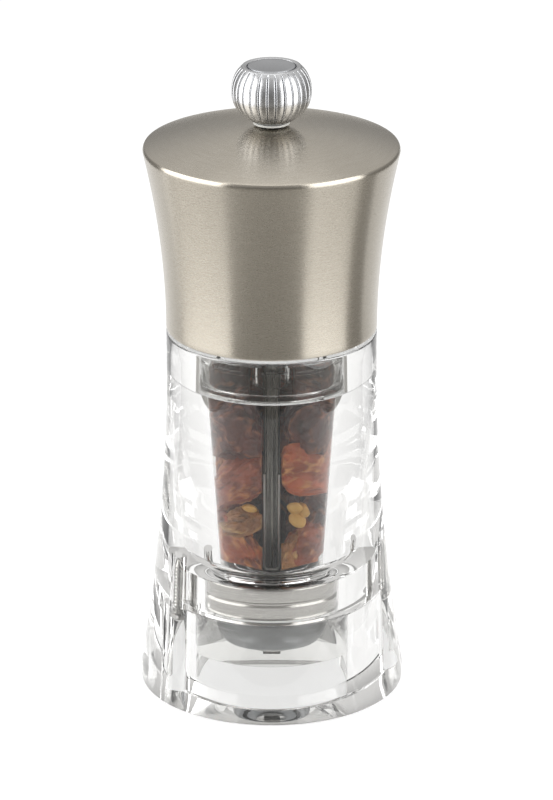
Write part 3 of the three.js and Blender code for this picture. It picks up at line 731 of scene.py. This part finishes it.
def filleted(corners, size, count=8):
    """A path through corners in space, each bend rounded."""
    points = [Vector(corners[0])]
    for before, corner, after in zip(corners, corners[1:], corners[2:]):
        corner = Vector(corner)
        start = corner + (Vector(before) - corner).normalized() * size
        end = corner + (Vector(after) - corner).normalized() * size
        for i in range(count + 1):
            t = i / count
            points.append((1 - t) ** 2 * start + 2 * t * (1 - t) * corner + t * t * end)
    points.append(Vector(corners[-1]))
    return points


def agitator_hairpin():
    """The wire that hugs the front of the shaft and turns with it."""
    low, high = AGITATOR_FOOT + AGITATOR_WIRE, AGITATOR_TOP - AGITATOR_WIRE
    x, y = SHAFT_SIDE / 2 - 0.2, -(SHAFT_SIDE / 2 + GAP + AGITATOR_WIRE)
    corners = [(-x, y, high), (-x, y, low), (x, y, low), (x, y, high)]
    wire = to_object("agitator_hairpin", sweep(filleted(corners, 1.0), AGITATOR_WIRE), 1.0)
    return finish_piece(wire, "shaft", "polished_steel", BRIGHT, "agitator_hairpin")


def agitator_foot():
    """The wire that sweeps the floor of the chamber."""
    z = span("agitator_foot")[0] + AGITATOR_WIRE
    corners = [(-6.4, -0.6, z + 0.2), (-4.2, -3.8, z), (-0.8, -6.2, z), (1.6, -8, z)]
    wire = to_object("agitator_foot", sweep(filleted(corners, 1.6), AGITATOR_WIRE), 1.0)
    return finish_piece(wire, "shaft", "polished_steel", BRIGHT, "agitator_foot")


# ---- Head ----


def head_cover():
    """The spun metal shell: waisted side, softly rounded rim and a shallow dome."""
    wall = SHELL_WALL
    rim_edge = 1.0
    hole_radius = 2.8
    dome_edge = RIM_RADIUS - rim_edge
    dome_foot = RIM_Z + 0.85 * rim_edge
    rise = DOME_TOP - dome_foot
    dome_radius = (dome_edge**2 + rise**2) / (2 * rise)

    def dome(r, drop=0.0):
        return (r, DOME_TOP - dome_radius + math.sqrt(dome_radius**2 - r**2) - drop)

    def side(inset, count):
        start = (WAIST_RADIUS - inset, SHELL_FOOT + 0.3)
        end = (RIM_RADIUS - inset, RIM_Z - inset)
        return bend(start, (WAIST_RADIUS - inset, SHELL_BEND_Z), end, count)

    steps = 26
    dome_top = dome(DOME_FLAT_RADIUS)[1]
    radii = [dome_edge + (DOME_FLAT_RADIUS - dome_edge) * i / steps for i in range(steps + 1)]
    corners = [
        (WAIST_RADIUS - wall, SHELL_FOOT, 0.2),
        (WAIST_RADIUS, SHELL_FOOT, 0.35),
        *side(0, 40)[1:],
        (RIM_RADIUS, RIM_Z, 1.2),
        (RIM_RADIUS - 0.35, RIM_Z + 0.62, 0.4),
        *[dome(r) for r in radii],
        (hole_radius, dome_top, 0.2),
        (hole_radius, dome_top - wall, 0.2),
        *[dome(r, wall) for r in reversed(radii)],
        *reversed(side(wall, 24)),
    ]
    shell = to_object("head_cover", revolve(rounded(corners), 256))
    return finish_piece(shell, "head", "brushed_head", BRUSHED, "head_shell")


def neck_sleeve():
    """The clear collar: a lipped sleeve with a snap tab, a flange, webs and a guide tube."""
    outer = NECK_RADIUS - GAP
    low, high = COLLAR_FOOT, COLLAR_TOP
    bore, flange = COLLAR_BORE_RADIUS, 17.0
    corners = [
        (bore - 0.5, low, 0.2),
        (outer, low, 0.35),
        (outer, low + 1.4, 0.15),
        (outer - 0.3, low + 1.6, 0.1),
        (outer - 0.3, low + 5.9, 0.1),
        (outer - 0.05, low + 6.1, 0.1),
        (outer - 0.05, low + 8.0, 0.1),
        (outer - 0.4, low + 8.3, 0.1),
        (outer - 0.4, low + 9.0, 0.1),
        (outer, low + 9.3, 0.1),
        (outer, high - 1.2, 0.15),
        (flange, high - 1.2, 0.2),
        (flange, high, 0.2),
        (bore, high, 0.2),
        (bore, low + 1.4, 0.15),
        (bore - 0.5, low + 1.1, 0.15),
    ]
    sleeve = to_object("neck_sleeve", revolve(rounded(corners), 160))
    tab_x, tab_y, tab_half, slot_half, tab_foot, tab_top = 0.6, -15.2, 2.2, 0.3, 77.2, 80.2
    for x in (tab_x - tab_half, tab_x + tab_half):
        slot = add_bar(bmesh.new(), 4, tab_foot, tab_top, slot_half, 2.0, (x, tab_y), 0.1)
        boolean(sleeve, to_object("slot", slot), "DIFFERENCE")
    low_slot = (tab_foot - 0.4, tab_foot + 0.2, tab_half + slot_half, 2.0, (tab_x, tab_y))
    under = add_bar(bmesh.new(), 4, *low_slot, 0.1)
    boolean(sleeve, to_object("under", under), "DIFFERENCE")
    inside, outside = 3.1, 4.4
    tube = [(inside, GUIDE_FOOT, 0.2), (outside, GUIDE_FOOT, 0.3)]
    tube += [(outside, high, 0.2), (inside, high, 0.2)]
    boolean(sleeve, to_object("tube", revolve(rounded(tube), 64)), "UNION")
    web_middle = (outside + bore) / 2
    for i in range(4):
        angle = TURN * i / 4 + TURN / 8
        centre = (web_middle * math.cos(angle), web_middle * math.sin(angle))
        web = add_bar(bmesh.new(), 4, high - 3.2, high - 0.05, 5.4, 0.6, centre, 0.2, angle)
        boolean(sleeve, to_object("web", web), "UNION")
    return finish_piece(sleeve, "head", "clear_acrylic", CLEAR, "neck_collar")


# ---- Knob ----


def knob_side():
    """The side of the knob's squat ball, from the foot up to the rolled lip."""
    equator, radius, foot_reach, top_reach, fullness = 134.1, 8.57, 7.1, 7.6, 2.3
    side = []
    for i in range(12):
        t = math.radians(-57 + 57 * i / 12)
        side.append((radius * math.cos(t), equator + foot_reach * math.sin(t)))
    for i in range(17):
        rise = 0.735 * i / 16
        width = (1 - rise**fullness) ** (1 / fullness)
        side.append((radius * width, equator + top_reach * rise))
    return side


def fluted_knob():
    """Broad ribs between narrow grooves, and a plain rolled lip round the sunk top."""
    side = knob_side()
    bore_top = KNOB_FOOT + 9.2
    corners = [
        (0, bore_top),
        (KNOB_BORE_RADIUS, bore_top, 0.2),
        (KNOB_BORE_RADIUS, KNOB_FOOT, 0.2),
        (4.2, KNOB_FOOT, 0.3),
        *side,
        (6.1, KNOB_TOP, 0.5),
        (5.3, KNOB_TOP - 0.2, 0.2),
        (5.12, KNOB_TOP - 1, 0.05),
        (0, KNOB_TOP - 1),
    ]
    low, high = side[0][1], side[-1][1]

    def warp(angle, radius, height):
        if radius < 4.3 or not low <= height <= high:
            return radius
        across = abs(((angle - TURN / 4) * KNOB_FLUTES / TURN + 0.5) % 1 - 0.5) * 2
        fade = max(0, min(1, (height - low) / 0.8, (high - height) / 0.6))
        groove = math.exp(-(((1 - across) / 0.13) ** 2))
        return radius - fade * (0.08 * across**2 + 0.42 * groove)

    bm = revolve(rounded(corners), KNOB_FLUTES * 24, warp)
    knob = to_object("fluted_knob", bm, math.radians(60))
    return finish_piece(knob, "knob", "satin_knob", SATIN, "knob_body")


def knob_disc():
    """The slightly dished disc let into the knob's top."""
    low, high = span("knob_cap")
    flat_radius, dish, steps = 4.85, 0.12, 8
    outline = [(0, low), (4.95, low), (5.06, high - 0.15), (4.98, high - 0.04), (flat_radius, high)]
    for i in range(steps - 1, -1, -1):
        share = i / steps
        outline.append((flat_radius * share, high - dish * (1 - share**2)))
    disc = to_object("knob_disc", revolve(outline, 128), math.radians(50))
    return finish_piece(disc, "knob", "satin_knob", SATIN_DISC, "knob_cap")


def thin_washer():
    """The washer under the knob, which hides its edge."""
    low, high = span("knob_washer")
    corners = [(2.3, low, 0.1), (3.9, low, 0.15), (3.9, high, 0.15), (2.3, high, 0.1)]
    washer = to_object("thin_washer", revolve(rounded(corners), 96))
    return finish_piece(washer, "knob", "white_plastic", WHITE, "knob_washer")


def knob_thread():
    """The brass insert, knurled outside and plain inside."""
    low, high = span("knob_insert")
    corners = [(2.05, low, 0.1), (2.9, low, 0.2), (2.9, high, 0.2), (2.05, high, 0.1)]

    def warp(angle, radius, height):
        return radius - 0.12 * (0.5 + 0.5 * math.cos(30 * angle)) if radius > 2.7 else radius

    insert = to_object("knob_thread", revolve(rounded(corners), 240, warp))
    return finish_piece(insert, "knob", "brass_insert", BRASS, "knob_insert")


# ---- Filling ----


# The foot of the filling, which hangs together in a cone above the mouth of the chamber.
HEAP_FOOT_RADIUS = 6.4
HEAP_SLOPE = 1.3


def chamber_radius(z):
    """The chamber's radius at a height, in millimetres."""
    if z > NECK_FLOOR:
        return COLLAR_BORE_RADIUS - 0.5
    if z > CHAMBER_FOOT_Z:
        rise = (z - CHAMBER_FOOT_Z) / (NECK_FLOOR - CHAMBER_FOOT_Z)
        return CHAMBER_FOOT_RADIUS + (CHAMBER_TOP_RADIUS - CHAMBER_FOOT_RADIUS) * rise
    if z < CHAMBER_MOUTH_Z:
        return CHAMBER_MOUTH_RADIUS
    drop = (CHAMBER_FOOT_Z - z) / (CHAMBER_FOOT_Z - CHAMBER_MOUTH_Z)
    widening = CHAMBER_FOOT_RADIUS - CHAMBER_MOUTH_RADIUS
    return CHAMBER_MOUTH_RADIUS + widening * math.sqrt(max(0, 1 - drop))


def keep_inside(place, side):
    """Holds a point of the filling inside the chamber, off what turns, and out of the narrow
    free space in front of the shaft. side is -1 or 1 for a piece to the left or right of the
    shaft, and 0 for one behind it."""
    x, y, z = place.x, place.y, max(place.z, CHILLI_FLOOR)
    beside_guide = z > GUIDE_FOOT - 0.7
    free = 4.6 if beside_guide else 2.0
    narrowest = 4.9 if beside_guide else 3.6 if z < AGITATOR_TOP + 1 else 3.1
    if side and y < 0:
        x = side * max(free, side * x)
    elif abs(x) < free:
        y = max(y, narrowest)
    heap = HEAP_FOOT_RADIUS + HEAP_SLOPE * (z - CHILLI_FLOOR)
    widest = min(chamber_radius(z) - 0.2, heap)
    radius = math.hypot(x, y)
    scale = min(max(radius, narrowest), widest) / radius
    return Vector((x * scale, y * scale, z))


def folds(local, number):
    """Height of a chilli's skin, from 0 in a fold to 1 on a ridge. Folds run along the pod."""
    place = Vector((local.x * 0.15, local.y * 0.26, local.z * 0.26)) + Vector((number * 7.3, 0, 0))
    place += noise.noise_vector(place * 0.8) * 0.25
    broad = noise.ridged_multi_fractal(place, 0.9, 2.1, 3, 1.0, 2.0)
    fine = noise.ridged_multi_fractal(place * 2.7, 0.9, 2.1, 3, 1.0, 2.0)
    return min(1, broad / 1.9), min(1, fine / 1.9)


def pod(number, middle, half_sizes, lean, spin, curl=0.8):
    """One crumpled pod: half its length, height and depth, its lean from level and its spin."""
    bm = bmesh.new()
    bmesh.ops.create_icosphere(bm, subdivisions=6, radius=1)
    layer = bm.verts.layers.float.new("ridge")
    length, height, depth = half_sizes
    spun = Matrix.Rotation(math.radians(spin), 3, "Z")
    pose = spun @ Matrix.Rotation(math.radians(-lean), 3, "Y")
    side = 0 if abs(middle[0]) < 2 else math.copysign(1, middle[0])
    for vertex in bm.verts:
        ball = vertex.co.copy()
        local = Vector((ball.x * length, ball.y * depth, ball.z * height))
        broad, fine = folds(local, number)
        swell = 2.0 * noise.noise(local * 0.17 + Vector((0, number * 3.7, 0)))
        local += ball * (swell + 1.7 * (broad - 0.5) + 0.6 * (fine - 0.5))
        local.z += curl * (ball.x**2 - 0.4)
        vertex.co = keep_inside(pose @ local + Vector(middle), side)
        # The skin's height, which the skin material paints as shade in the folds and as highlight
        # on the ridges.
        vertex[layer] = 0.62 * broad + 0.38 * fine
    return bm


def chillies(skins):
    """The dried chillies, from the floor of the chamber up. Each whole one stands for the
    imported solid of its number, and the loose bits fill the spaces between."""
    maroon, russet, orange, tan = skins
    whole = [
        (orange, (-7.2, -5.0, 33.0), (8.8, 4.0, 4.2), -58, 8),
        (maroon, (0.5, 5.4, 34.0), (10.5, 7.0, 5.0), 6, 0),
        (russet, (6.6, -5.6, 33.0), (8.8, 3.9, 4.4), 62, -10),
        (tan, (-6.2, -7.6, 39.2), (5.0, 3.0, 3.0), 12, -8),
        (maroon, (-0.5, 7.2, 45.0), (12.6, 6.4, 5.2), -8, 4),
        (maroon, (11.4, -4.2, 45.0), (10.5, 4.4, 4.6), 70, 16),
        (russet, (-6.6, -7.6, 49.6), (7.2, 4.4, 3.8), 40, -6),
        (russet, (0.5, 7.6, 54.0), (12.8, 6.4, 5.2), 8, -3),
        (orange, (8.0, -7.4, 53.2), (7.2, 5.6, 3.4), 30, 8),
        (maroon, (-8.0, -5.6, 60.0), (7.2, 6.6, 5.0), -52, 4),
        (maroon, (-0.5, 7.8, 63.0), (12.8, 6.4, 5.2), -6, 2),
        (maroon, (10.2, -6.2, 62.0), (7.8, 6.8, 5.0), 46, -6),
        (maroon, (-8.6, -5.6, 72.0), (7.4, 6.4, 4.6), 30, 6),
        (russet, (0.0, 8.2, 72.0), (12.4, 6.2, 4.8), 5, 0),
        (maroon, (10.0, -5.6, 72.5), (7.8, 6.4, 4.8), -24, -6),
    ]
    loose = [
        (orange, (-11.4, -3.0, 41.0), (7.4, 3.2, 3.0), 84, 0),
        (orange, (-11.6, -4.2, 66.2), (5.0, 3.0, 2.6), 70, 0),
        (tan, (12.8, -5.4, 57.6), (5.6, 3.2, 2.4), 78, 0),
        (russet, (-11.6, 1.5, 52.0), (8.8, 4.2, 4.0), 88, 0),
        (maroon, (11.8, 1.0, 60.0), (9.4, 4.4, 4.2), -86, 0),
        (maroon, (-7.6, 1.0, 32.0), (6.4, 4.0, 4.0), 70, 0),
        (russet, (-4.0, -6.8, 30.8), (5.2, 2.4, 2.6), -66, 0),
        (tan, (4.2, -7.2, 31.4), (5.2, 2.4, 2.4), 72, 0),
    ]
    for number, (skin, middle, half_sizes, lean, spin) in enumerate(whole + loose, 1):
        obj = to_object(f"chilli_{number:02d}", pod(number, middle, half_sizes, lean, spin), 1.5)
        nodes = [f"dried_chilli_{number:02d}"] if number <= len(whole) else []
        finish_piece(obj, "body", "dried_chilli", skin, *nodes)


def seeds():
    """A clump of seeds to the right of the shaft, and a few more that lie about."""
    places = [
        (4.5, -9.4, 43.6, 0.5, 0.6),
        (6.1, -9.2, 43.2, 1.2, 1.6),
        (4.9, -9.5, 41.0, 0.3, 2.6),
        (-4.3, -9.0, 43.4, 1.0, 0.4),
        (5.2, -7.0, 31.8, 0.3, 1.9),
    ]
    bm = bmesh.new()
    for x, y, z, tilt, spin in places:
        turn = Matrix.Rotation(spin, 4, "Y") @ Matrix.Rotation(tilt, 4, "X")
        place = Matrix.Translation((x, y, z)) @ turn @ Matrix.Diagonal((1.5, 0.8, 1.75, 1))
        made = bmesh.ops.create_icosphere(bm, subdivisions=4, radius=1, matrix=place)
        for vertex in made["verts"]:
            away = vertex.co - Vector((x, y, z))
            vertex.co += away * 0.12 * noise.noise(vertex.co * 1.1)
    beans = to_object("loose_seeds", bm)
    return finish_piece(beans, "body", "dried_chilli", seed_coat())


# ---- Studio ----


def make_camera():
    """Looks down at the mill from the front through a long lens."""
    aim = Vector((1.05, 0, 64.3)) * MM
    elevation = math.radians(20.9)
    distance = 1.06
    data = bpy.data.cameras.new("camera")
    data.sensor_width = 36
    data.lens = 220.3
    camera = bpy.data.objects.new("camera", data)
    back = Vector((0, -math.cos(elevation), math.sin(elevation)))
    camera.location = aim + back * distance
    camera.rotation_mode = "QUATERNION"
    camera.rotation_quaternion = (-back).to_track_quat("-Z", "Y")
    bpy.context.scene.collection.objects.link(camera)
    bpy.context.scene.camera = camera


def area_light(name, azimuth, height, distance, size, radiance):
    """An upright soft box at an azimuth from the front, positive to the right."""
    data = bpy.data.lights.new(name, "AREA")
    data.shape = "RECTANGLE"
    data.size, data.size_y = size
    data.energy = radiance * math.pi * size[0] * size[1]
    light = bpy.data.objects.new(name, data)
    a = math.radians(azimuth)
    away = Vector((math.sin(a), -math.cos(a), 0))
    light.location = away * distance + Vector((0, 0, height))
    light.rotation_mode = "QUATERNION"
    light.rotation_quaternion = (-away).to_track_quat("-Z", "Y")
    bpy.context.scene.collection.objects.link(light)


def top_light():
    """A square soft box overhead."""
    data = bpy.data.lights.new("top_box", "AREA")
    data.size = 0.8
    data.energy = TOP_RADIANCE * math.pi * data.size**2
    light = bpy.data.objects.new("top_box", data)
    light.location = (0, 0.1, 1.1)
    bpy.context.scene.collection.objects.link(light)


def floor_piece(name, corners, height, material):
    """A flat staged piece, from its corners in metres."""
    bm = bmesh.new()
    bm.faces.new([bm.verts.new((x, y, height)) for x, y in corners])
    mesh = bpy.data.meshes.new(name)
    bm.to_mesh(mesh)
    bm.free()
    piece = bpy.data.objects.new(name, mesh)
    bpy.context.scene.collection.objects.link(piece)
    mesh.materials.append(material)


def make_floor():
    """A white sheet under and behind the mill, wider behind it, on a grey table. Both lie a
    little below the mill's foot, so that no faces coincide."""
    near, beside, behind, far, table = -SHEET_FRONT, 0.05, 0.09, 1.6, 2.0
    edge = [(SHEET_HALF, near), (SHEET_HALF, beside), (SHEET_SPREAD, behind)]
    edge.append((2 * SHEET_SPREAD, far))
    sheet = [*edge, *[(-x, y) for x, y in reversed(edge)]]
    floor_piece("floor", sheet, -0.3 * MM, pale_floor())
    square = [(-table, -table), (table, -table), (table, table), (-table, table)]
    floor_piece("table", square, -1.0 * MM, moulded_plastic("table_top", (150, 148, 144)))


def make_world():
    """A dim room, darker towards the front, with a bright ceiling."""
    world = bpy.data.worlds.new("studio")
    world.use_nodes = True
    tree = world.node_tree
    background = tree.nodes["Background"]
    place = tree.nodes.new("ShaderNodeTexCoord")
    split = tree.nodes.new("ShaderNodeSeparateXYZ")
    tree.links.new(place.outputs["Generated"], split.inputs[0])
    rise = tree.nodes.new("ShaderNodeMapRange")
    rise.interpolation_type = "SMOOTHSTEP"
    set_range(rise, 0.0, 0.6, WORLD_LEVEL, WORLD_TOP)
    tree.links.new(split.outputs["Z"], rise.inputs["Value"])
    depth = tree.nodes.new("ShaderNodeMapRange")
    set_range(depth, -0.9, -0.2, WORLD_FRONT, 1.0)
    tree.links.new(split.outputs["Y"], depth.inputs["Value"])
    product = tree.nodes.new("ShaderNodeMath")
    product.operation = "MULTIPLY"
    tree.links.new(rise.outputs[0], product.inputs[0])
    tree.links.new(depth.outputs[0], product.inputs[1])
    tree.links.new(product.outputs[0], background.inputs["Strength"])
    background.inputs["Color"].default_value = (1.0, 0.99, 0.975, 1)
    bpy.context.scene.world = world


def make_studio():
    """The room, the floor, two soft boxes beside the mill and one overhead."""
    make_world()
    make_floor()
    height, distance, tall = 0.22, 0.28, 0.44
    area_light("left_box", -75, height, distance, (0.36, tall), 2.7)
    area_light("right_box", 58, height, distance, (0.27, tall), 2.6)
    top_light()
    scene = bpy.context.scene
    scene.view_settings.view_transform = "Standard"
    scene.cycles.max_bounces = 20
    scene.cycles.transmission_bounces = 16
    scene.cycles.glossy_bounces = 6
    scene.cycles.diffuse_bounces = 4


# ---- Assembly ----

CLEAR = clear_acrylic()
BRUSHED = brushed_head()
SATIN = satin_metal("satin_knob", (214, 215, 217), 0.27)
SATIN_DISC = satin_metal("satin_disc", (196, 198, 201), 0.3)
POLISHED = turned_metal("polished_steel", (214, 213, 211), 0.16)
DRAWN = drawn_metal("drawn_steel", (128, 125, 119), 0.24)
GROUND = satin_metal("ground_steel", (150, 152, 154), 0.38)
BRASS = turned_metal("brass_insert", (206, 164, 88), 0.3)
SLEEVE = turned_metal("rolled_steel", (206, 204, 200), 0.22)
BRIGHT = satin_metal("bright_wire", (250, 249, 246), 0.5)
WHITE = moulded_plastic("white_plastic", (226, 226, 222))
BLACK = moulded_plastic("black_plastic", (34, 34, 35))

make_camera()
make_studio()

body_shell()
housing_sleeve()
retaining_ring()
stator_bowl()
bridge_spider()
for screw_side in SCREW_ANGLES:
    housing_screw(screw_side)

shaft_bar()
toothed_cone()
coil_spring()
agitator_hairpin()
agitator_foot()

head_cover()
neck_sleeve()

fluted_knob()
knob_disc()
knob_thread()
thin_washer()

# The third tone of each skin is also its painted highlight on the ridges, and half the first its
# painted shade in the folds.
chillies(
    [
        chilli_skin("chilli_maroon", (60, 31, 29), (102, 54, 46), (186, 118, 78)),
        chilli_skin("chilli_russet", (112, 50, 35), (166, 80, 53), (234, 158, 92)),
        chilli_skin("chilli_orange", (148, 66, 39), (202, 98, 57), (244, 180, 106)),
        chilli_skin("chilli_tan", (134, 84, 50), (190, 130, 76), (240, 196, 122)),
    ]
)
seeds()

KEPT = {
    "cone_clip": POLISHED,
    "spring_washer": POLISHED,
    "guide_bush": BLACK,
    "slip_ring": WHITE,
    "head_core": BLACK,
    "drive_insert": GROUND,
}
for kept_name, kept_material in KEPT.items():
    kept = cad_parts[kept_name]
    kept.data.materials.clear()
    kept.data.materials.append(kept_material)
